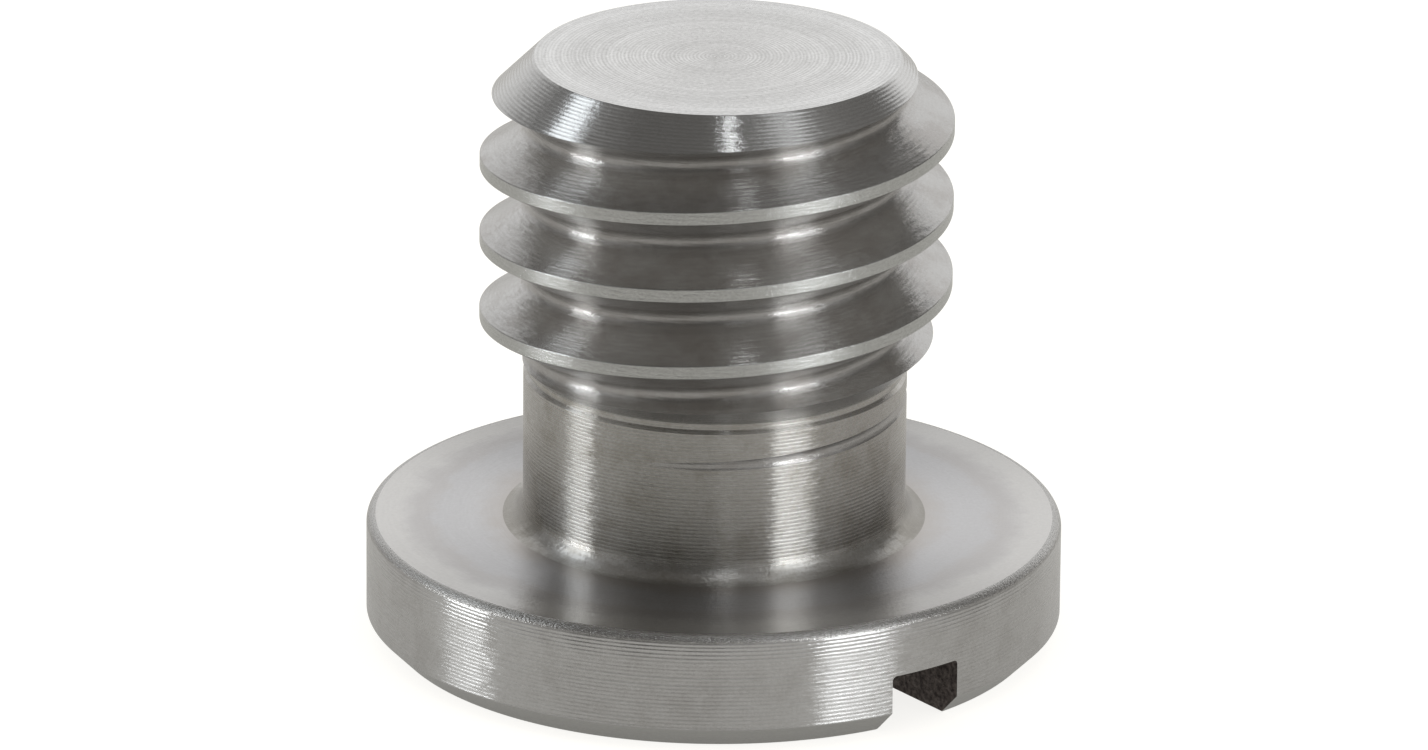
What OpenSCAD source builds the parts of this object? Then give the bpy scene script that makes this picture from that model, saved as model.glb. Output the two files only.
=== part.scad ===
// Camera mounting screw, turned from one piece of bar: a disc head with a slot
// across its underside, a plain shank and a short coarse right-hand thread.
// It stands on its head with the thread up. The slot runs along Y. All in mm.

/* [Head] */
// Diameter of the disc head
head_d = 13.85; // [11:0.05:18]
// Thickness of the disc head
head_h = 2.42; // [2:0.02:4]
// Size of the 45 degree bevel round the underside
head_bevel = 0.48; // [0.1:0.02:0.8]
// Radius of the soft edge round the upper face
head_edge_r = 0.18; // [0.04:0.02:0.4]

/* [Driver slot] */
// Width of the slot across the underside
slot_w = 1.6; // [0.8:0.05:2.5]
// Depth of the slot
slot_depth = 1.25; // [0.5:0.05:1.5]

/* [Shank] */
// Diameter of the plain shank
shank_d = 7.62; // [7:0.02:8.4]
// Length of the plain shank, from the head to the neck
shank_h = 3.04; // [1.5:0.02:8]
// Radius of the fillet between shank and head
foot_r = 0.4; // [0.1:0.02:0.8]
// How far the neck is turned in below the surface of the shank
neck_depth = 0.07; // [0.02:0.01:0.2]
// Width of the neck's floor, between the shank and the cone under the thread
neck_w = 0.12; // [0.06:0.02:0.6]

/* [Thread] */
// Outside diameter of the thread
thread_d = 9.37; // [9:0.01:10]
// Rise of the thread in one turn
pitch = 1.5875; // [1.4:0.0125:1.8]
// Width of the flat left on the crest
crest_w = 0.264; // [0.16:0.004:0.36]
// Radius of the rounded root
root_r = 0.234; // [0.12:0.002:0.28]
// Height of the whole screw
screw_h = 12; // [10.5:0.1:20]
// Diameter of the flat on the thread's end, inside its 45 degree bevel
end_flat_d = 7.25; // [6.4:0.05:8.4]

/* [Thread run-out] */
// Direction where the groove fades out of the shank, from +X towards +Y
exit_angle = 208; // [0:1:359]
// How far below the neck the groove fades out
exit_drop = 0.7; // [0.5:0.02:1.2]
// Part of a turn in which the groove rises out of the metal, in degrees
exit_turn = 85; // [40:5:160]
// Part of a turn in which the thread loses its pitch, in degrees
slow_turn = 115; // [40:5:180]
// Share of the pitch that is left where the groove fades out
exit_feed = 0.3; // [0.1:0.05:1]

/* [Hidden] */
// Half the thread's flank angle of 60 degrees
half_angle = 30;
// Straight pieces in one turn of the groove, in its root and in a soft edge
turn_steps = 45;
root_steps = 6;
edge_steps = 4;
// How far a cut runs on past the surface it starts from
past = 0.15;
$fn = 120;

head_r = head_d / 2;
shank_r = shank_d / 2;
thread_r = thread_d / 2;
end_flat_r = end_flat_d / 2;
neck_r = shank_r - neck_depth;
// Depth of the groove that leaves the crest flat and the rounded root
groove_depth = (pitch - crest_w) / 2 / tan(half_angle) - root_r;
root_line_r = thread_r - groove_depth;
// Heights going up the screw
neck_h = head_h + shank_h;
cone_h = neck_h + neck_depth + neck_w;
full_h = cone_h + thread_r - neck_r;
bevel_h = screw_h - (thread_r - end_flat_r);
exit_h = neck_h - exit_drop;
// How far the groove must come out to leave the shank altogether
exit_lift = max(shank_r - root_line_r, 0) + 0.004;

// Radius of the groove's root where it has turned by t degrees from its end
function groove_r(t) =
    root_line_r + exit_lift * pow(max(exit_turn - t, 0) / exit_turn, 2);

// Height of the groove's centre line there: it climbs by the pitch in a turn,
// and by less over the last part where the feed slows down
function groove_h(t) =
    let (s = min(t, slow_turn))
    exit_h + pitch / 360
        * (exit_feed * s + (1 - exit_feed) * s * s / (2 * slow_turn) + t - s);

// The groove ends a little above the end face of the screw
turn_end = slow_turn + 360 * (screw_h + pitch / 2 - groove_h(slow_turn)) / pitch;
steps = ceil(turn_end * turn_steps / 360);

// Outline of the groove as [out from the root, up from the centre line]: the
// rounded root with a straight flank on either side
flank_out = groove_depth + past;
flank_up = root_r * cos(half_angle)
    + (flank_out - root_r * (1 - sin(half_angle))) * tan(half_angle);
arc_half = 90 - half_angle;
groove_outline = concat(
    [[flank_out, -flank_up]],
    [for (i = [0 : root_steps])
        let (a = arc_half * (2 * i / root_steps - 1))
        [root_r * (1 - cos(a)), root_r * sin(a)]],
    [[flank_out, flank_up]]
);
corners = len(groove_outline);

// The groove as one winding body: the outline carried round and up the screw
module thread_groove() {
    points = [
        for (i = [0 : steps])
            let (t = turn_end * i / steps, a = exit_angle + t)
            for (q = groove_outline)
                let (r = groove_r(t) + q[0])
                [r * cos(a), r * sin(a), groove_h(t) + q[1]]
    ];
    sides = [
        for (i = [0 : steps - 1], j = [0 : corners - 1])
            let (k = (j + 1) % corners, lo = i * corners, hi = lo + corners)
            each [[lo + j, hi + k, lo + k], [lo + j, hi + j, hi + k]]
    ];
    lower_end = [[for (j = [0 : corners - 1]) j]];
    upper_end = [[for (j = [corners - 1 : -1 : 0]) steps * corners + j]];
    polyhedron(points, concat(sides, lower_end, upper_end));
}

// Half section of the turned bar, from the underside up to the thread's end
module bar_section() {
    soft_edge = [
        for (i = [0 : edge_steps])
            let (a = 90 * i / edge_steps)
            [head_r - head_edge_r * (1 - cos(a)), head_h - head_edge_r * (1 - sin(a))]
    ];
    fillet = [
        for (i = [0 : edge_steps])
            let (a = 90 * i / edge_steps)
            [shank_r + foot_r * (1 - sin(a)), head_h + foot_r * (1 - cos(a))]
    ];
    polygon(concat(
        [[0, 0], [head_r - head_bevel, 0], [head_r, head_bevel]],
        soft_edge,
        fillet,
        [
            [shank_r, neck_h],
            [neck_r, neck_h + neck_depth],
            [neck_r, cone_h],
            [thread_r, full_h],
            [thread_r, bevel_h],
            [end_flat_r, screw_h],
            [0, screw_h]
        ]
    ));
}

// The slot for a coin or a flat driver, right across the underside
module driver_slot() {
    translate([-slot_w / 2, -head_r - past, -past])
        cube([slot_w, head_d + 2 * past, slot_depth + past]);
}

module screw() {
    color([0.62, 0.61, 0.59])
        difference() {
            rotate_extrude() bar_section();
            driver_slot();
            thread_groove();
        }
}

screw();
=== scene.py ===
# Looks of a camera mounting screw: the turned bar with its broken edges, the
# thread that runs out into the shank and the slot across the head, in bright
# steel on a pale floor. Everything is in metres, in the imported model's frame.
import math

import bpy
from mathutils import Matrix, Vector


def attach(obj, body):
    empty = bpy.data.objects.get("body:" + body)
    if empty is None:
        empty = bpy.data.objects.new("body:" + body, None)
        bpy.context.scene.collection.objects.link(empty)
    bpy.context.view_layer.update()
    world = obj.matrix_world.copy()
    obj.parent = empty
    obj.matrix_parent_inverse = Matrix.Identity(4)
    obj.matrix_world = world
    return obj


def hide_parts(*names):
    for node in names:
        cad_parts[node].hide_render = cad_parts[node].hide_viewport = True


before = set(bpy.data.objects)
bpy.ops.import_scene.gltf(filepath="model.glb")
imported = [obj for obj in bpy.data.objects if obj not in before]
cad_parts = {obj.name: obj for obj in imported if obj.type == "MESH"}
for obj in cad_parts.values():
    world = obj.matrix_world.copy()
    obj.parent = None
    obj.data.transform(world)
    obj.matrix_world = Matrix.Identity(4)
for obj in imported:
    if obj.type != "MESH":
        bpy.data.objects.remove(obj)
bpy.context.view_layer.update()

MM = 0.001

# Head
HEAD_R = 6.925 * MM
HEAD_H = 2.42 * MM
HEAD_BEVEL = 0.48 * MM
HEAD_EDGE_R = 0.18 * MM

# Driver slot along Y
SLOT_W = 1.6 * MM
SLOT_DEPTH = 1.25 * MM
SLOT_CORNER_R = 0.09 * MM
SLOT_EDGE = 0.025 * MM

# Shank, neck and the cone under the thread
SHANK_R = 3.81 * MM
FOOT_R = 0.4 * MM
NECK_R = 3.74 * MM
NECK_LOW = 5.46 * MM
NECK_FLOOR = 5.53 * MM
CONE_LOW = 5.65 * MM

# Thread
THREAD_R = 4.685 * MM
PITCH = 1.5875 * MM
CREST_W = 0.264 * MM
ROOT_R = 0.234 * MM
HALF_ANGLE = math.radians(30)
GROOVE_DEPTH = (PITCH - CREST_W) / 2 / math.tan(HALF_ANGLE) - ROOT_R
ROOT_LINE_R = THREAD_R - GROOVE_DEPTH
SCREW_H = 12 * MM
END_FLAT_R = 3.625 * MM
FULL_H = CONE_LOW + THREAD_R - NECK_R
BEVEL_H = SCREW_H - (THREAD_R - END_FLAT_R)

# Run-out of the thread: where the groove fades out of the shank, and how the
# tool rises and slows down over the last part of a turn
EXIT_ANGLE = math.radians(208)
EXIT_H = 4.76 * MM
EXIT_LIFT = SHANK_R - ROOT_LINE_R + 0.004 * MM
EXIT_TURN = math.radians(85)
SLOW_TURN = math.radians(115)
EXIT_FEED = 0.3

# Broken edges, and the band beside each one that keeps a flat face flat
EDGE_R = 0.03 * MM
FINE_EDGE_R = 0.015 * MM
BAND = 0.012 * MM
CREST_EDGE_R = 0.035 * MM
CREST_EDGE_LEFT = math.radians(13)
PAST = 0.015 * MM
TOOL_PAST = 0.3 * MM
TOOL_MIDDLE = 0.3 * MM

# How finely the curves are divided
TURNING_STEPS = 360
GROOVE_STEPS = 180
ARC_STEP = math.radians(9)
SHARP_ANGLE = math.radians(11)

# Camera of the photograph
CAMERA_AZIMUTH = math.radians(-37.2)
CAMERA_RISE = math.radians(19.9)
CAMERA_ROLL = math.radians(0.5)
CAMERA_DISTANCE = 250 * MM
CAMERA_AIM = Vector((-0.0175, 0.0133, 5.33)) * MM
CAMERA_LENS = 317.42
SENSOR_WIDTH = 36
NEAREST_SEEN = 0.01
FURTHEST_SEEN = 20

# Directions round the object, as the camera sees them
TO_RIGHT = Vector((math.cos(CAMERA_AZIMUTH), math.sin(CAMERA_AZIMUTH), 0))
AWAY = Vector((-math.sin(CAMERA_AZIMUTH), math.cos(CAMERA_AZIMUTH), 0))
UP = Vector((0, 0, 1))


class Term:
    """A number in a node tree, which takes the usual signs."""

    def __init__(self, builder, socket):
        self.builder = builder
        self.socket = socket

    def apply(self, operation, *others):
        inputs = {0: self.socket}
        for place, other in enumerate(others, 1):
            inputs[place] = other.socket if isinstance(other, Term) else other
        made = self.builder.add(self.builder.math_node, inputs, operation=operation)
        return Term(self.builder, made.outputs[0])

    def __add__(self, other):
        return self.apply("ADD", other)

    def __sub__(self, other):
        return self.apply("SUBTRACT", other)

    def __mul__(self, other):
        return self.apply("MULTIPLY", other)

    def __truediv__(self, other):
        return self.apply("DIVIDE", other)

    def floor(self):
        return self.apply("FLOOR")

    def cos(self):
        return self.apply("COSINE")

    def sin(self):
        return self.apply("SINE")

    def abs(self):
        return self.apply("ABSOLUTE")

    def least(self, other):
        return self.apply("MINIMUM", other)

    def most(self, other):
        return self.apply("MAXIMUM", other)

    def within(self, low, high):
        return self.apply("GREATER_THAN", low) * self.apply("LESS_THAN", high)


class Builder:
    """Adds nodes to one tree. Inputs are given by name or place, as a socket or a value."""

    math_node = "ShaderNodeMath"

    def __init__(self, tree):
        self.tree = tree

    def add(self, kind, inputs=None, **settings):
        made = self.tree.nodes.new(kind)
        for name, value in settings.items():
            setattr(made, name, value)
        for key, value in (inputs or {}).items():
            if isinstance(value, Term):
                value = value.socket
            if isinstance(value, bpy.types.NodeSocket):
                self.tree.links.new(value, made.inputs[key])
            else:
                made.inputs[key].default_value = value
        return made

    def term(self, socket):
        return Term(self, socket)

    def smooth(self, value, low, high):
        """0 below low and 1 above high, with a soft step between."""
        made = self.add(
            "ShaderNodeMapRange",
            {"Value": value, "From Min": low, "From Max": high},
            interpolation_type="SMOOTHSTEP",
        )
        return Term(self, made.outputs["Result"])

    def fade(self, value, low, high):
        """1 below low and 0 above high, with a soft step between."""
        return self.smooth(value * -1, -high, -low)

    def along(self, vector, direction):
        """How far the vector goes in that direction."""
        made = self.add(
            "ShaderNodeVectorMath", {0: vector, 1: tuple(direction)}, operation="DOT_PRODUCT"
        )
        return Term(self, made.outputs["Value"])

    def rays(self):
        """1 for a ray that the camera sends, also through glass, and 1 for a mirrored one."""
        kinds = self.add("ShaderNodeLightPath").outputs
        camera = self.term(kinds["Is Camera Ray"]).most(self.term(kinds["Is Transmission Ray"]))
        return camera, self.term(kinds["Is Glossy Ray"])


def polar(centre, radius, angle):
    return (centre[0] + radius * math.cos(angle), centre[1] + radius * math.sin(angle))


def arc(centre, radius, start, end):
    """Points on an arc, none further apart than ARC_STEP."""
    steps = max(2, math.ceil(abs(end - start) / ARC_STEP))
    return [polar(centre, radius, start + (end - start) * i / steps) for i in range(steps + 1)]


def toward(start, end, distance):
    gap = math.dist(start, end)
    return tuple(a + (b - a) * distance / gap for a, b in zip(start, end))


def rounded(corners, radii):
    """The line through the corners with each inner corner rounded to its radius. A
    band of BAND beside each corner keeps the straight stretches flat when shaded."""
    line = [corners[0]]
    for before, corner, after, radius in zip(corners, corners[1:], corners[2:], radii):
        to_before = Vector(before) - Vector(corner)
        to_after = Vector(after) - Vector(corner)
        half = to_before.angle(to_after) / 2
        reach = radius / math.tan(half)
        start = toward(corner, before, reach)
        end = toward(corner, after, reach)
        middle = Vector(corner) + (to_before.normalized() + to_after.normalized()).normalized() \
            * radius / math.sin(half)
        first = math.atan2(start[1] - middle.y, start[0] - middle.x)
        last = math.atan2(end[1] - middle.y, end[0] - middle.x)
        turn = (last - first + math.pi) % math.tau - math.pi
        line.append(toward(corner, before, reach + BAND))
        line.extend(arc(middle, radius, first, first + turn))
        line.append(toward(corner, after, reach + BAND))
    line.append(corners[-1])
    return line


def bar_outline():
    """Half section of the turned bar as (radius, height), underside to thread end."""
    corners = [
        (0, 0),
        (HEAD_R - HEAD_BEVEL, 0),
        (HEAD_R, HEAD_BEVEL),
        (HEAD_R, HEAD_H),
        (SHANK_R, HEAD_H),
        (SHANK_R, NECK_LOW),
        (NECK_R, NECK_FLOOR),
        (NECK_R, CONE_LOW),
        (THREAD_R, FULL_H),
        (THREAD_R, BEVEL_H),
        (END_FLAT_R, SCREW_H),
        (0, SCREW_H),
    ]
    radii = [
        EDGE_R,
        EDGE_R,
        HEAD_EDGE_R,
        FOOT_R,
        FINE_EDGE_R,
        FINE_EDGE_R,
        FINE_EDGE_R,
        FINE_EDGE_R,
        FINE_EDGE_R,
        EDGE_R,
    ]
    return rounded(corners, radii)


def thread_tool_outline():
    """The thread groove's outline as (out from the root, up): a rounded root, straight
    flanks, and crest edges that are rounded over until they nearly lie on the crest."""
    half_width = (PITCH - CREST_W) / 2
    edge_middle = (
        GROOVE_DEPTH - CREST_EDGE_R,
        half_width + CREST_EDGE_R * math.tan(HALF_ANGLE),
    )
    root = [
        (ROOT_R - point[0], point[1])
        for point in arc((0, 0), ROOT_R, 0, math.pi / 2 - HALF_ANGLE)
    ]
    edge = arc(edge_middle, CREST_EDGE_R, HALF_ANGLE - math.pi / 2, -CREST_EDGE_LEFT)
    run = (GROOVE_DEPTH + PAST - edge[-1][0]) / math.sin(CREST_EDGE_LEFT)
    last = (GROOVE_DEPTH + PAST, edge[-1][1] + run * math.cos(CREST_EDGE_LEFT))
    upper = root + [
        toward(root[-1], edge[0], BAND),
        toward(edge[0], root[-1], BAND),
    ] + edge + [last]
    lower = [(out, -up) for out, up in upper[1:]]
    return upper[::-1] + lower


def slot_tool_outline():
    """The slot cutter's outline as (across, up), with broken edges at the underside."""
    half = SLOT_W / 2
    corner = (half - SLOT_CORNER_R, SLOT_DEPTH - SLOT_CORNER_R)
    right = [
        (half + SLOT_EDGE + TOOL_PAST, -TOOL_PAST),
        (half, SLOT_EDGE),
    ] + arc(corner, SLOT_CORNER_R, 0, math.pi / 2)
    return right + [(-across, up) for across, up in reversed(right)]


def outline_object(name, line, closed=False):
    """A line of (x, z) points as a mesh of edges in the XZ plane."""
    mesh = bpy.data.meshes.new(name)
    count = len(line)
    edges = [(i, i + 1) for i in range(count - 1)]
    if closed:
        edges.append((count - 1, 0))
    mesh.from_pydata([(x, 0, z) for x, z in line], edges, [])
    made = bpy.data.objects.new(name, mesh)
    bpy.context.scene.collection.objects.link(made)
    return made


def prism_object(name, line, half_length):
    """The closed (x, z) outline as a solid along Y."""
    count = len(line)
    points = [(x, y, z) for y in (-half_length, half_length) for x, z in line]
    sides = [(i + count, (i + 1) % count + count, (i + 1) % count, i) for i in range(count)]
    front = [tuple(range(count))]
    back = [tuple(reversed(range(count, 2 * count)))]
    mesh = bpy.data.meshes.new(name)
    mesh.from_pydata(points, [], sides + front + back)
    made = bpy.data.objects.new(name, mesh)
    bpy.context.scene.collection.objects.link(made)
    return made


# The sizes that the screw's node tree takes, in the order of its inputs
TREE_SIZES = {
    "Turning steps": TURNING_STEPS,
    "Groove steps in a turn": GROOVE_STEPS,
    "Root line radius": ROOT_LINE_R,
    "Pitch": PITCH,
    "Screw height": SCREW_H,
    "Exit angle": EXIT_ANGLE,
    "Exit height": EXIT_H,
    "Exit lift": EXIT_LIFT,
    "Exit turn": EXIT_TURN,
    "Slow turn": SLOW_TURN,
    "Exit feed": EXIT_FEED,
    "Sharp angle": SHARP_ANGLE,
}
MERGE_DISTANCE = 0.0005 * MM


def outline_grid(b, outline, rows, closed=0):
    """A grid with a row for each step of a sweep and a column for each point of the
    outline, and one more that meets the first where it is closed. Returns its mesh,
    the row's number and the outline point's x and z."""
    count = b.term(
        b.add(
            "GeometryNodeAttributeDomainSize", {"Geometry": outline}, component="MESH"
        ).outputs["Point Count"]
    )
    columns = count + closed
    grid = b.add("GeometryNodeMeshGrid", {"Vertices X": rows, "Vertices Y": columns})
    index = b.term(b.add("GeometryNodeInputIndex").outputs[0])
    row = ((index + 0.5) / columns).floor()
    column = index - row * columns
    point = b.add(
        "GeometryNodeSampleIndex",
        {
            "Geometry": outline,
            "Value": b.add("GeometryNodeInputPosition").outputs[0],
            "Index": column.apply("MODULO", count),
        },
        data_type="FLOAT_VECTOR",
    )
    parts = b.add("ShaderNodeSeparateXYZ", {0: point.outputs[0]})
    return grid.outputs["Mesh"], row, b.term(parts.outputs["X"]), b.term(parts.outputs["Z"])


def place_on_axis(b, mesh, radius, angle, height):
    """Moves each point to its radius, angle and height, and joins what meets."""
    position = b.add(
        "ShaderNodeCombineXYZ", {"X": radius * angle.cos(), "Y": radius * angle.sin(), "Z": height}
    )
    placed = b.add("GeometryNodeSetPosition", {"Geometry": mesh, "Position": position.outputs[0]})
    joined = b.add(
        "GeometryNodeMergeByDistance",
        {"Geometry": placed.outputs[0], "Distance": MERGE_DISTANCE},
    )
    return joined.outputs[0]


def screw_tree(bar_finishes, threaded, milled):
    """Turns the bar's outline, then cuts the thread and the slot out of it. Each of the
    bar's finishes comes with the lowest and highest radius and height that it covers.
    The last one is given after the cuts, to what they leave of the bar between them."""
    tree = bpy.data.node_groups.new("turn_thread_and_slot", "GeometryNodeTree")
    tree.interface.new_socket("Bar outline", in_out="INPUT", socket_type="NodeSocketGeometry")
    for name in ("Thread tool outline", "Slot tool"):
        tree.interface.new_socket(name, in_out="INPUT", socket_type="NodeSocketObject")
    for name, size in TREE_SIZES.items():
        made = tree.interface.new_socket(name, in_out="INPUT", socket_type="NodeSocketFloat")
        made.default_value = size
    tree.interface.new_socket("Screw", in_out="OUTPUT", socket_type="NodeSocketGeometry")

    b = Builder(tree)
    given = b.add("NodeGroupInput").outputs
    size = {name: b.term(given[name]) for name in TREE_SIZES}

    # The turned bar: its outline goes once round the axis
    steps = size["Turning steps"]
    rows = b.add("FunctionNodeFloatToInt", {0: steps + 1})
    mesh, row, radius, height = outline_grid(b, given["Bar outline"], rows.outputs[0])
    bar = place_on_axis(b, mesh, radius, row * math.tau / steps, height)

    # The thread groove: its outline goes round and up by the rule of the run-out.
    # The first and last rows are drawn together to close the two ends.
    tool = b.add("GeometryNodeObjectInfo", {"Object": given["Thread tool outline"]})
    slow = size["Slow turn"]
    feed = size["Exit feed"]
    climb = size["Pitch"] / math.tau
    slow_rise = climb * slow * (feed + (feed * -1 + 1) / 2)
    top = size["Screw height"] + size["Pitch"] / 2
    turn_end = slow + (top - size["Exit height"] - slow_rise) / climb
    turns = (turn_end * size["Groove steps in a turn"] / math.tau + 1).floor()
    rows = b.add("FunctionNodeFloatToInt", {0: turns + 3})
    mesh, row, out, up = outline_grid(b, tool.outputs["Geometry"], rows.outputs[0], closed=1)
    step = (row - 1).most(0).least(turns)
    turn = turn_end * step / turns
    rise = ((size["Exit turn"] - turn) / size["Exit turn"]).most(0)
    slowed = turn.least(slow)
    gain = feed * slowed + (feed * -1 + 1) * slowed * slowed / (slow * 2) + turn - slowed
    within = (row - step - 1).abs() * -1 + 1
    groove_r = size["Root line radius"] + size["Exit lift"] * rise * rise
    groove_h = size["Exit height"] + climb * gain
    radius = groove_r + (out - TOOL_MIDDLE) * within + TOOL_MIDDLE
    groove = place_on_axis(
        b, mesh, radius, size["Exit angle"] + turn, groove_h + up * within
    )

    slot = b.add("GeometryNodeObjectInfo", {"Object": given["Slot tool"]})
    place = b.add("GeometryNodeInputPosition").outputs[0]
    level = b.add("ShaderNodeVectorMath", {0: place, 1: (1, 1, 0)}, operation="MULTIPLY")
    reach = b.add("ShaderNodeVectorMath", {0: level.outputs[0]}, operation="LENGTH")
    radius = b.term(reach.outputs["Value"])
    height = b.term(b.add("ShaderNodeSeparateXYZ", {0: place}).outputs["Z"])

    def finished(mesh, finish, inner, outer, low, high):
        chosen = radius.within(inner * MM, outer * MM) * height.within(low * MM, high * MM)
        made = b.add(
            "GeometryNodeSetMaterial", {"Geometry": mesh, "Selection": chosen, "Material": finish}
        )
        return made.outputs[0]

    for covered in bar_finishes[:-1]:
        bar = finished(bar, *covered)
    groove = b.add("GeometryNodeSetMaterial", {"Geometry": groove, "Material": threaded})
    slot = b.add(
        "GeometryNodeSetMaterial", {"Geometry": slot.outputs["Geometry"], "Material": milled}
    )
    cut = b.add(
        "GeometryNodeMeshBoolean",
        {"Mesh 1": bar, "Mesh 2": groove.outputs[0]},
        operation="DIFFERENCE",
        solver="MANIFOLD",
    )
    slotted = b.add(
        "GeometryNodeMeshBoolean",
        {"Mesh 1": cut.outputs["Mesh"], "Mesh 2": slot.outputs[0]},
        operation="DIFFERENCE",
        solver="MANIFOLD",
    )
    bend = b.add("GeometryNodeInputMeshEdgeAngle").outputs["Unsigned Angle"]
    soft = b.term(bend).apply("LESS_THAN", size["Sharp angle"])
    shaded = b.add(
        "GeometryNodeSetShadeSmooth",
        {"Geometry": slotted.outputs["Mesh"], "Shade Smooth": soft},
        domain="EDGE",
    )
    shaded = b.add("GeometryNodeSetShadeSmooth", {"Geometry": shaded.outputs[0], "Shade Smooth": True})
    whole = b.add("GeometryNodeRealizeInstances", {"Geometry": shaded.outputs[0]})
    b.add("NodeGroupOutput", {"Screw": finished(whole.outputs[0], *bar_finishes[-1])})
    return tree


def make_screw(bar_finishes, threaded, milled):
    """Runs the node tree on the bar's outline and keeps the result as a plain mesh."""
    bar = outline_object("bar_outline", bar_outline())
    thread_tool = outline_object("thread_tool_outline", thread_tool_outline(), closed=True)
    slot_tool = prism_object("slot_tool", slot_tool_outline(), HEAD_R + TOOL_PAST)
    tree = screw_tree(bar_finishes, threaded, milled)
    modifier = bar.modifiers.new("screw", "NODES")
    modifier.node_group = tree
    tools = {"Thread tool outline": thread_tool, "Slot tool": slot_tool}
    for item in tree.interface.items_tree:
        if item.in_out == "INPUT" and item.name in tools:
            modifier[item.identifier] = tools[item.name]
    bpy.context.view_layer.update()
    evaluated = bar.evaluated_get(bpy.context.evaluated_depsgraph_get())
    mesh = bpy.data.meshes.new_from_object(evaluated)
    mesh.name = "turned_screw"
    mesh.materials.pop(index=0)
    bar.modifiers.remove(modifier)
    for helper in (bar, thread_tool, slot_tool):
        bpy.data.objects.remove(helper)
    screw = bpy.data.objects.new("turned_screw", mesh)
    bpy.context.scene.collection.objects.link(screw)
    return screw


def new_material(name):
    """An empty material and the builder of its node tree."""
    material = bpy.data.materials.new(name)
    material.use_nodes = True
    material.node_tree.nodes.clear()
    return material, Builder(material.node_tree)


QUARTER_TURN = 0.25


class Finish:
    """A finish in the making, with the measures that its pattern reads, in millimetres."""

    def __init__(self, name):
        self.material, self.b = new_material(name)
        b = self.b
        given = b.add("ShaderNodeTexCoord")
        self.place = self.vector("MULTIPLY", given.outputs["Object"], (1 / MM, 1 / MM, 1 / MM))
        level = self.vector("MULTIPLY", self.place, (1, 1, 0))
        self.around = self.vector("NORMALIZE", level)
        reach = b.add("ShaderNodeVectorMath", {0: level}, operation="LENGTH")
        self.radius = b.term(reach.outputs["Value"])
        self.height = b.term(b.add("ShaderNodeSeparateXYZ", {0: self.place}).outputs["Z"])
        normal = b.add("ShaderNodeSeparateXYZ", {0: given.outputs["Normal"]})
        self.facing_up = b.smooth(b.term(normal.outputs["Z"]).abs(), 0.2, 0.5)

    def vector(self, operation, *inputs):
        made = self.b.add("ShaderNodeVectorMath", dict(enumerate(inputs)), operation=operation)
        return made.outputs[0]

    def spread(self, noise):
        """The noise's value, drawn out to cover 0 to 1."""
        return self.b.term(noise.outputs["Fac"]) * 2.2 - 0.6

    def noise(self, scale, detail=3.0, along=None):
        """Patches all over the surface, or bands along a measure. The scale is per mm."""
        given = {"Scale": scale, "Detail": detail, "Roughness": 0.65}
        given["Vector" if along is None else "W"] = self.place if along is None else along
        made = self.b.add(
            "ShaderNodeTexNoise", given, noise_dimensions="3D" if along is None else "1D"
        )
        return self.spread(made)

    def scratches(self, broken, fine):
        """Broken lines round the axis: how often one breaks in a turn, and lines per mm."""
        lift = self.b.add("ShaderNodeCombineXYZ", {"Z": self.height * fine})
        turn = self.vector("MULTIPLY", self.around, (broken, broken, 0))
        made = self.b.add(
            "ShaderNodeTexNoise",
            {
                "Vector": self.vector("ADD", turn, lift.outputs[0]),
                "W": self.radius * fine,
                "Scale": 1.0,
                "Detail": 3.0,
                "Roughness": 0.6,
            },
            noise_dimensions="4D",
        )
        return self.spread(made)

    def rings(self, wall_feed, face_feed, wander):
        """The rings that the tool leaves, from 0 to about 1: one for each feed, no two
        quite alike, stacked up the walls and one within another on the faces."""

        def marks(along, feed):
            drift = self.noise(2.2, detail=2.0, along=along) * wander
            ring = (along * (math.tau / feed) + drift).sin() * 0.5 + 0.5
            return ring * (self.noise(0.8 / feed, detail=2.0, along=along) * 0.5 + 0.55)

        on_wall = marks(self.height, wall_feed)
        on_face = marks(self.radius, face_feed)
        return on_wall + (on_face - on_wall) * self.facing_up

    def blend(self, part, first, second):
        mixed = self.b.add(
            "ShaderNodeMix", {"Factor": part, "A": first, "B": second}, data_type="RGBA"
        )
        return mixed.outputs["Result"]

    def colours(self, light, dark, dark_part):
        return self.blend(dark_part, (*light, 1), (*dark, 1))

    def metal(self, colour, relief, depth, roughness, brushed, jagged=None):
        """Closes the finish. The relief's depth is in mm, brushed is how far more it
        scatters light across the rings than along them, and jagged is how far it turns
        aside from place to place, so that the edges of reflections are ragged."""
        b = self.b
        bump = b.add(
            "ShaderNodeBump", {"Strength": 1.0, "Distance": depth * MM, "Height": relief}
        )
        normal = bump.outputs[0]
        tangent = b.add("ShaderNodeTangent", direction_type="RADIAL", axis="Z")
        if jagged is not None:
            aside = b.add(
                "ShaderNodeVectorMath", {0: tangent.outputs[0], "Scale": jagged}, operation="SCALE"
            )
            normal = self.vector("NORMALIZE", self.vector("ADD", normal, aside.outputs[0]))
        surface = b.add(
            "ShaderNodeBsdfPrincipled",
            {
                "Base Color": colour,
                "Metallic": 1.0,
                "Roughness": roughness,
                "Anisotropic": brushed,
                "Anisotropic Rotation": QUARTER_TURN,
                "Tangent": tangent.outputs[0],
                "Normal": normal,
            },
        )
        b.add("ShaderNodeOutputMaterial", {"Surface": surface.outputs[0]})
        return self.material


BRIGHT = (0.655, 0.655, 0.65)
BRIGHT_SHADE = (0.51, 0.503, 0.49)
# Brown of the stain and the painted shade round the shank's foot on the head's face
STAIN_AND_SHADE = (0.47, 0.44, 0.415)
# Colour of the deep painted shade on two sides of the shank at its foot
DEEP_PAINTED_SHADE = (0.25, 0.235, 0.21)

# The shank gets painted shade on this side and on the opposite one
PAINTED_SHADE_SIDE = Vector((0.8, -0.6, 0))

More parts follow.
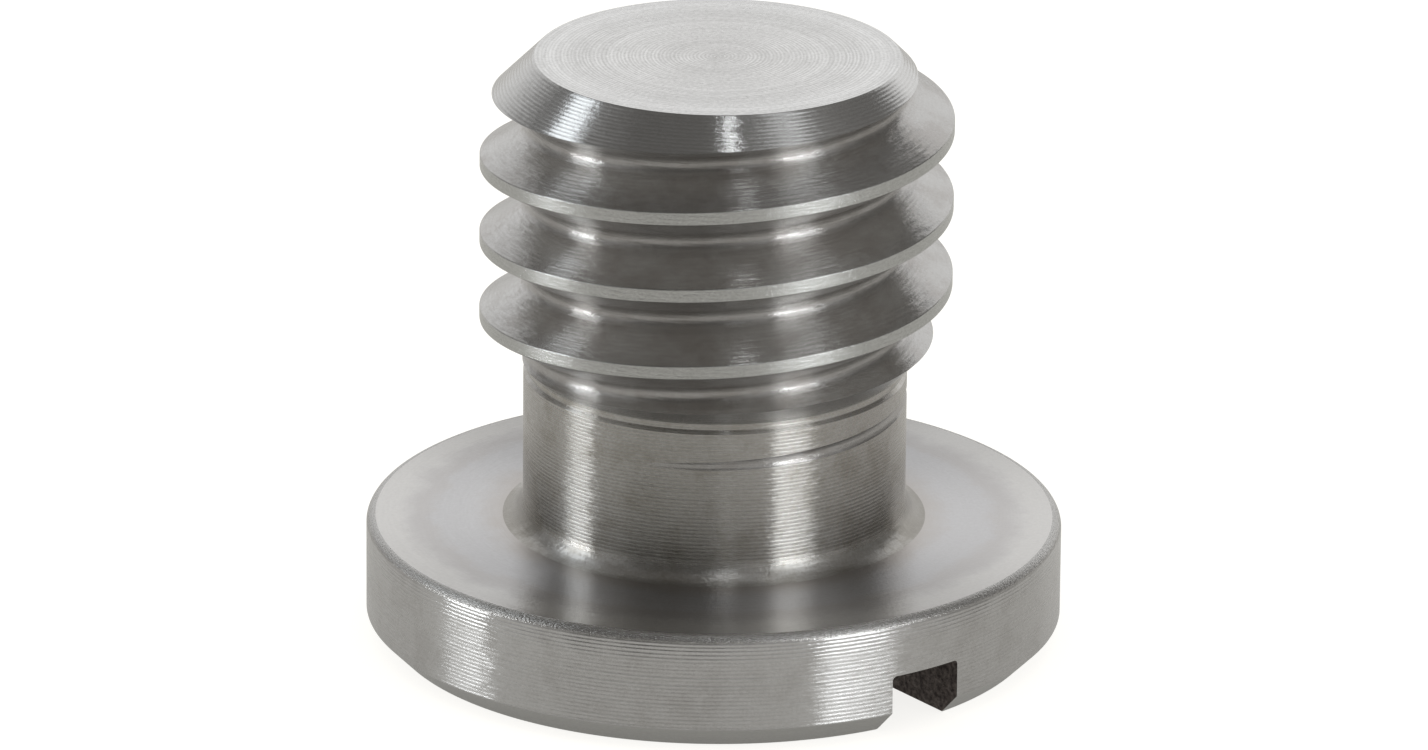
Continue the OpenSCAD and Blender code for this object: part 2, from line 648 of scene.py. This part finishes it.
# Heights and radii between which a mark comes or goes, in millimetres
FIRST_RINGS_COME = (1.85, 2.1)
FIRST_RINGS_GO = (2.24, 2.3)
CHATTER_COMES = (2.26, 2.32)
FOOT_GOES = (2.5, 2.85)
SIDE_PAINTED_SHADE_GOES = (2.9, 5.0)
ROOT_GOES = (3.85, 4.02)
FOOT_STAIN_AND_SHADE_GOES = (4.15, 4.9)
TIDE_WIDTH = 0.35


def rim_finish():
    """The head's rim, with the deep first rings of the tool under its upper edge."""
    f = Finish("head_rim")
    rings = f.rings(0.08, 0.08, 1.0)
    first = f.b.smooth(f.height, *FIRST_RINGS_COME) * f.b.fade(f.height, *FIRST_RINGS_GO)
    chatter = f.b.smooth(f.height, *CHATTER_COMES)
    grain = f.noise(17.0)
    scratches = f.scratches(20.0, 14.0)
    worn = f.noise(1.4) * 0.5 + 0.45
    relief = rings * worn * (first * 1.8 + 1) * (chatter * -0.8 + 1) + scratches * 0.3 \
        + grain * (chatter * 1.7 + 0.12)
    stain = f.b.smooth(f.noise(1.1), 0.4, 0.9) * 0.3
    dark = rings * worn * (first + 0.5) * -0.5 + grain * (chatter + 0.6) + scratches * 0.35 \
        + chatter * 0.2 + stain
    colour = f.colours(BRIGHT, BRIGHT_SHADE, dark)
    return f.metal(colour, relief, 0.005, rings * 0.04 + 0.24, 1.0, (scratches - 0.5) * 0.06)


def bevel_finish():
    """The bevel round the underside, left smooth and dull."""
    f = Finish("head_bevel")
    grain = f.noise(18.0)
    scratches = f.scratches(14.0, 30.0)
    colour = f.colours((0.545, 0.543, 0.525), (0.43, 0.425, 0.405), grain * 0.5 + scratches * 0.3)
    return f.metal(colour, grain + scratches, 0.002, 0.33, 0.5)


def shank_finish():
    """The plain shank and its foot: fine rings, painted shade low on two of its sides, and the foot
    painted lighter as a painted highlight.
    """
    f = Finish("shank")
    rings = f.rings(0.077, 0.07, 1.2)
    grain = f.noise(17.0)
    scratches = f.scratches(18.0, 14.0)
    worn = f.noise(1.2) * 0.8 + 0.3
    foot = f.b.fade(f.height, *FOOT_GOES)
    stain = f.b.smooth(f.noise(1.3), 0.4, 0.9) * 0.45
    # Painted shade: the shank is darker low on two sides, where it mirrors the head's face
    ragged = (f.noise(2.4) - 0.5) * 0.08
    low = f.b.fade(f.height, *SIDE_PAINTED_SHADE_GOES)
    sides = f.b.smooth(f.b.along(f.around, PAINTED_SHADE_SIDE).abs() + ragged, 0.85, 1.0) * low
    rings = rings * (foot * -0.7 + 1)
    relief = rings * worn * 0.85 + scratches * 0.35 + grain * (foot * 0.4 + 0.14)
    # The foot is painted lighter, a painted highlight on its fillet, and the two sides darker with
    # their painted shade
    dark = rings * worn * -0.4 + grain * 0.6 + scratches * 0.3 + stain + foot * -0.25 + sides
    colour = f.colours((0.575, 0.566, 0.548), (0.4, 0.38, 0.345), dark)
    # Deeper painted shade where the two shaded sides meet the foot
    colour = f.blend(foot * sides * 0.7, colour, (*DEEP_PAINTED_SHADE, 1))
    rough = rings * 0.04 + foot * 0.02 + 0.26
    return f.metal(colour, relief, 0.0045, rough, 1.0, (scratches - 0.5) * 0.06)


def cone_finish():
    """The bevel at the thread's end and the cone under the thread, with clear rings."""
    f = Finish("thread_ends")
    rings = f.rings(0.083, 0.057, 0.5)
    grain = f.noise(22.0)
    scratches = f.scratches(20.0, 14.0)
    worn = f.noise(1.8) * 0.5 + 0.55
    relief = rings * worn * 0.65 + scratches * 0.25 + grain * 0.08
    dark = rings * worn * -0.5 + grain * 0.6 + scratches * 0.3
    colour = f.colours(BRIGHT, BRIGHT_SHADE, dark)
    return f.metal(colour, relief, 0.0065, 0.24, 0.955, (scratches - 0.5) * 0.04)


def crest_finish():
    """The flat crests: the bar's own skin, drawn and not turned, with a fine grain."""
    f = Finish("crests")
    rings = f.rings(0.08, 0.08, 3.0)
    grain = f.noise(18.0, detail=4.0)
    scratches = f.scratches(22.0, 18.0)
    relief = rings * 0.25 + grain * 0.6 + scratches * 0.6
    dark = grain * 0.7 + scratches * 0.4 + rings * -0.1
    colour = f.colours((0.655, 0.665, 0.65), (0.5, 0.505, 0.485), dark)
    return f.metal(colour, relief, 0.0055, 0.26, 1.0, (scratches - 0.5) * 0.06)


def thread_finish():
    """The thread's flanks and roots: smooth, with faint lines along the cut."""
    f = Finish("cut_thread")
    rings = f.rings(0.1, 0.085, 5.0)
    grain = f.noise(19.0)
    scratches = f.scratches(14.0, 17.0)
    root = f.b.fade(f.radius, *ROOT_GOES)
    stain = f.b.smooth(f.noise(0.9), 0.3, 0.9) * 0.5
    relief = rings * 0.4 + scratches * 0.6 + grain * 0.2
    # The roots are painted darker, a painted shade in the bottom of the groove
    dark = scratches * 0.4 + grain * 0.5 + stain + root * 0.15
    colour = f.colours((0.575, 0.577, 0.572), (0.435, 0.42, 0.405), dark)
    return f.metal(colour, relief, 0.0045, 0.25, 1.0, (scratches - 0.5) * 0.08)


def flat_finish(
    name, light, dark, ringed, edge, edge_light, edge_dark, rough, brushed, foot_stain_and_shade=0.0
):
    """A flat face with rings one within another, and a lighter ring round its edge. On
    the head, a stain lies inside the lighter ring, and a brown ring round the foot of the
    shank is partly a stain and partly painted shade where the face mirrors the shank."""
    f = Finish(name)
    rings = f.rings(0.077, 0.075, 3.0)
    grain = f.noise(12.0, detail=5.0)
    scratches = f.scratches(10.0, 16.0)
    worn = f.noise(1.2) * 0.9 + 0.3
    wavy = f.radius + f.noise(0.8) * 0.4 + f.noise(4.0) * 0.15 - 0.27
    start, end = edge
    bands = f.noise(1.7, along=f.radius) - 0.5
    dark_part = rings * worn * ringed * -1 + grain * 0.8 + scratches * 0.3 \
        + bands * ringed * 0.8 + ringed * 0.3
    colour = f.blend(
        f.b.smooth(wavy, start, end),
        f.colours(light, dark, dark_part),
        f.colours(edge_light, edge_dark, dark_part),
    )
    # A brown ring round the shank's foot, partly a stain and partly painted shade where the face
    # mirrors the shank; the tide line inside the lighter ring is a stain
    if foot_stain_and_shade:
        tide = f.b.smooth(wavy, start - TIDE_WIDTH, start) * f.b.fade(wavy, start, end)
        foot = f.b.fade(wavy, *FOOT_STAIN_AND_SHADE_GOES)
        colour = f.blend((tide * 0.5 + foot) * foot_stain_and_shade, colour, (*STAIN_AND_SHADE, 1))
    relief = rings * worn * ringed * 1.4 + scratches * 0.4 + grain * 0.4
    return f.metal(colour, relief, 0.0035, rough, brushed, (scratches - 0.5) * 0.04)


def milled_finish_and_shade():
    """The slot, left rough by the cutter, in patchy brown steel painted dark as the shade that falls
    in it.
    """
    f = Finish("milled_slot")
    rough = f.noise(9.0, detail=5.0)
    fine = f.noise(24.0)
    # Painted shade: the slot's steel is coloured dark brown for the shade inside it
    colour = f.colours((0.28, 0.24, 0.215), (0.07, 0.055, 0.05), rough * 1.3)
    return f.metal(colour, rough + fine * 0.4, 0.02, rough * 0.2 + 0.35, 0.0)


FLOOR_HALF = 2.0
FLOOR_HEIGHT = -0.02 * MM
FLOOR_GLOW = 0.85
FLOOR_GLOW_IN_METAL = 0.29


def make_floor():
    """A wide floor just under the screw, clear from below. Its matt grey takes the
    screw's shadow. A glow that only the camera and metal see makes it white to the
    camera, and pale at the level of the photograph's studio where metal mirrors it."""
    mesh = bpy.data.meshes.new("floor")
    corners = [(-1, -1), (1, -1), (1, 1), (-1, 1)]
    points = [(x * FLOOR_HALF, y * FLOOR_HALF, FLOOR_HEIGHT) for x, y in corners]
    mesh.from_pydata(points, [], [(0, 1, 2, 3)])
    floor = bpy.data.objects.new("floor", mesh)
    bpy.context.scene.collection.objects.link(floor)
    material, b = new_material("pale_floor")
    matt = b.add("ShaderNodeBsdfDiffuse", {"Color": (0.268, 0.263, 0.25, 1)})
    camera, glossy = b.rays()
    strength = camera * FLOOR_GLOW + glossy * FLOOR_GLOW_IN_METAL
    glow = b.add("ShaderNodeEmission", {"Color": (1, 0.992, 0.97, 1), "Strength": strength})
    seen = b.add("ShaderNodeAddShader", {0: matt.outputs[0], 1: glow.outputs[0]})
    clear = b.add("ShaderNodeBsdfTransparent")
    side = b.add("ShaderNodeNewGeometry")
    both = b.add(
        "ShaderNodeMixShader",
        {0: side.outputs["Backfacing"], 1: seen.outputs[0], 2: clear.outputs[0]},
    )
    b.add("ShaderNodeOutputMaterial", {"Surface": both.outputs[0]})
    material.cycles.emission_sampling = "NONE"
    mesh.materials.append(material)


def studio_point(azimuth, rise):
    """The direction from the object to a place in the studio: azimuth from the camera,
    to its right, and height angle."""
    a = math.radians(azimuth)
    e = math.radians(rise)
    level = TO_RIGHT * math.sin(a) - AWAY * math.cos(a)
    return level * math.cos(e) + UP * math.sin(e)


# Levels of the studio, where 1 is white
MATT_LIGHT = 0.95
BACKDROP_LEVEL = 0.83


def make_world():
    """The room as metal mirrors it: dim overhead and in front, with a white backdrop
    behind the object and a glow round each softbox. The camera sees plain white, and
    matt surfaces are lit evenly from all sides."""
    world = bpy.data.worlds.new("studio")
    world.use_nodes = True
    world.node_tree.nodes.clear()
    world.cycles.sampling_method = "NONE"
    bpy.context.scene.world = world
    b = Builder(world.node_tree)
    direction = b.add("ShaderNodeTexCoord").outputs["Generated"]
    away = b.along(direction, AWAY)
    right = b.along(direction, TO_RIGHT)
    overhead = b.along(direction, UP)
    depth = away.most(0.02)
    across = right / depth
    backdrop = b.smooth(away, 0.0, 0.1) * b.smooth(across, -1.7, -0.1) \
        * b.fade(across, 0.8, 1.3) * b.fade(overhead / depth, 0.75, 1.1)
    glow = b.smooth(b.along(direction, studio_point(-88, 12)), 0.7, 0.97) \
        + b.smooth(b.along(direction, studio_point(47, 12)), 0.7, 0.97)
    room = b.smooth(right, -0.2, 1.0) * 0.08 + b.smooth(overhead, 0.5, 0.9) * 0.07 + 0.08
    camera, glossy = b.rays()
    ambient = (camera.most(glossy) * -1 + 1) * MATT_LIGHT
    cool = camera + glossy * (backdrop * BACKDROP_LEVEL + glow * 0.3)
    warm = glossy * room + ambient
    whites = b.add("ShaderNodeBackground", {"Color": (1, 1, 1, 1), "Strength": cool})
    dims = b.add("ShaderNodeBackground", {"Color": (1, 0.97, 0.93, 1), "Strength": warm})
    both = b.add("ShaderNodeAddShader", {0: whites.outputs[0], 1: dims.outputs[0]})
    b.add("ShaderNodeOutputWorld", {"Surface": both.outputs[0]})


LAMP_DISTANCE = 0.5
LAMP_COLOUR = (0.955, 0.98, 1)
OBJECT_MIDDLE = Vector((0, 0, 6 * MM))


def softbox(name, low, high, width, radiance, colour=LAMP_COLOUR):
    """A flat light from its low end to its high end, each given as (azimuth, rise),
    that faces the object. Radiance 1 is white."""
    start = studio_point(*low) * LAMP_DISTANCE
    end = studio_point(*high) * LAMP_DISTANCE
    middle = (start + end) / 2
    length = (end - start).length
    data = bpy.data.lights.new(name, "AREA")
    data.shape = "RECTANGLE"
    data.size = width
    data.size_y = length
    data.energy = radiance * math.pi * width * length
    data.color = colour
    lamp = bpy.data.objects.new(name, data)
    bpy.context.scene.collection.objects.link(lamp)
    along = (end - start).normalized()
    facing = middle.normalized()
    facing = (facing - along * facing.dot(along)).normalized()
    across = along.cross(facing)
    lamp.matrix_world = Matrix.Translation(middle + OBJECT_MIDDLE) \
        @ Matrix((across, along, facing)).transposed().to_4x4()


def make_lights():
    """A softbox to the left and one to the right, each brightest close to the floor so
    that the flat faces mirror less of it, a high lamp to the right and a thin upright
    strip in front."""
    softbox("left_softbox", (-84, -4), (-86.2, 4), 0.15, 11.8)
    softbox("left_softbox_middle", (-86.2, 4), (-92, 24), 0.15, 0.55)
    softbox("left_softbox_top", (-93, 24), (-116, 48), 0.11, 1.8, (0.89, 0.95, 1))
    softbox("right_softbox", (46, -4), (47.7, 4), 0.21, 12.6)
    softbox("right_softbox_middle", (47.7, 4), (52, 24), 0.21, 0.55)
    softbox("right_softbox_top", (51, 24), (57, 47), 0.13, 1.2)
    softbox("over_right_softbox", (66, 60), (104, 78), 0.095, 0.8)
    softbox("front_strip", (6, 34), (12, 60), 0.018, 2.2)
    softbox("front_strip_top", (12, 60), (21, 81), 0.018, 4.8)


def make_camera():
    """The camera of the photograph."""
    back = -AWAY * math.cos(CAMERA_RISE) + UP * math.sin(CAMERA_RISE)
    upward = back.cross(TO_RIGHT)
    right = TO_RIGHT * math.cos(CAMERA_ROLL) + upward * math.sin(CAMERA_ROLL)
    upward = back.cross(right)
    data = bpy.data.cameras.new("camera")
    data.lens = CAMERA_LENS
    data.sensor_width = SENSOR_WIDTH
    data.clip_start = NEAREST_SEEN
    data.clip_end = FURTHEST_SEEN
    camera = bpy.data.objects.new("camera", data)
    bpy.context.scene.collection.objects.link(camera)
    camera.matrix_world = Matrix.Translation(CAMERA_AIM + back * CAMERA_DISTANCE) \
        @ Matrix((right, upward, back)).transposed().to_4x4()
    bpy.context.scene.camera = camera


make_camera()
make_world()
make_lights()
make_floor()
bpy.context.scene.view_settings.view_transform = "Standard"

rim = rim_finish()
bevel = bevel_finish()
shank = shank_finish()
ends = cone_finish()
crests = crest_finish()
underside = flat_finish(
    "underside",
    light=BRIGHT,
    dark=(0.44, 0.43, 0.415),
    ringed=0.8,
    edge=(5.9, 6.5),
    edge_light=(0.7, 0.7, 0.695),
    edge_dark=BRIGHT_SHADE,
    rough=0.25,
    brushed=0.75,
)
head_face = flat_finish(
    "head_face",
    light=(0.57, 0.568, 0.578),
    dark=(0.5, 0.495, 0.5),
    ringed=0.12,
    edge=(5.75, 6.4),
    edge_light=(0.67, 0.66, 0.645),
    edge_dark=(0.59, 0.58, 0.565),
    rough=0.3,
    brushed=0.95,
    foot_stain_and_shade=0.8,
)
thread_end = flat_finish(
    "thread_end",
    light=(0.785, 0.783, 0.775),
    dark=(0.5, 0.495, 0.485),
    ringed=0.75,
    edge=(1.5, 3.8),
    edge_light=(0.81, 0.81, 0.805),
    edge_dark=(0.55, 0.548, 0.54),
    rough=0.2,
    brushed=0.45,
)

# Each finish of the turned bar, with the radii and then the heights that it covers,
# in millimetres
BAR_FINISHES = (
    (rim, 0, 7, -1, 13),
    (bevel, 6.3, 7, -1, 0.46),
    (underside, 0, 6.43, -1, 0.001),
    (head_face, 4.2, 6.74, 2.419, 2.421),
    (shank, 0, 4.21, 2.421, 5.65),
    (ends, 0, 4.71, 5.65, 13),
    (thread_end, 0, 3.61, 11.999, 13),
    (crests, 4.68, 4.71, 6.61, 10.93),
)
screw = make_screw(BAR_FINISHES, thread_finish(), milled_finish_and_shade())
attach(screw, "root")
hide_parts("screw")
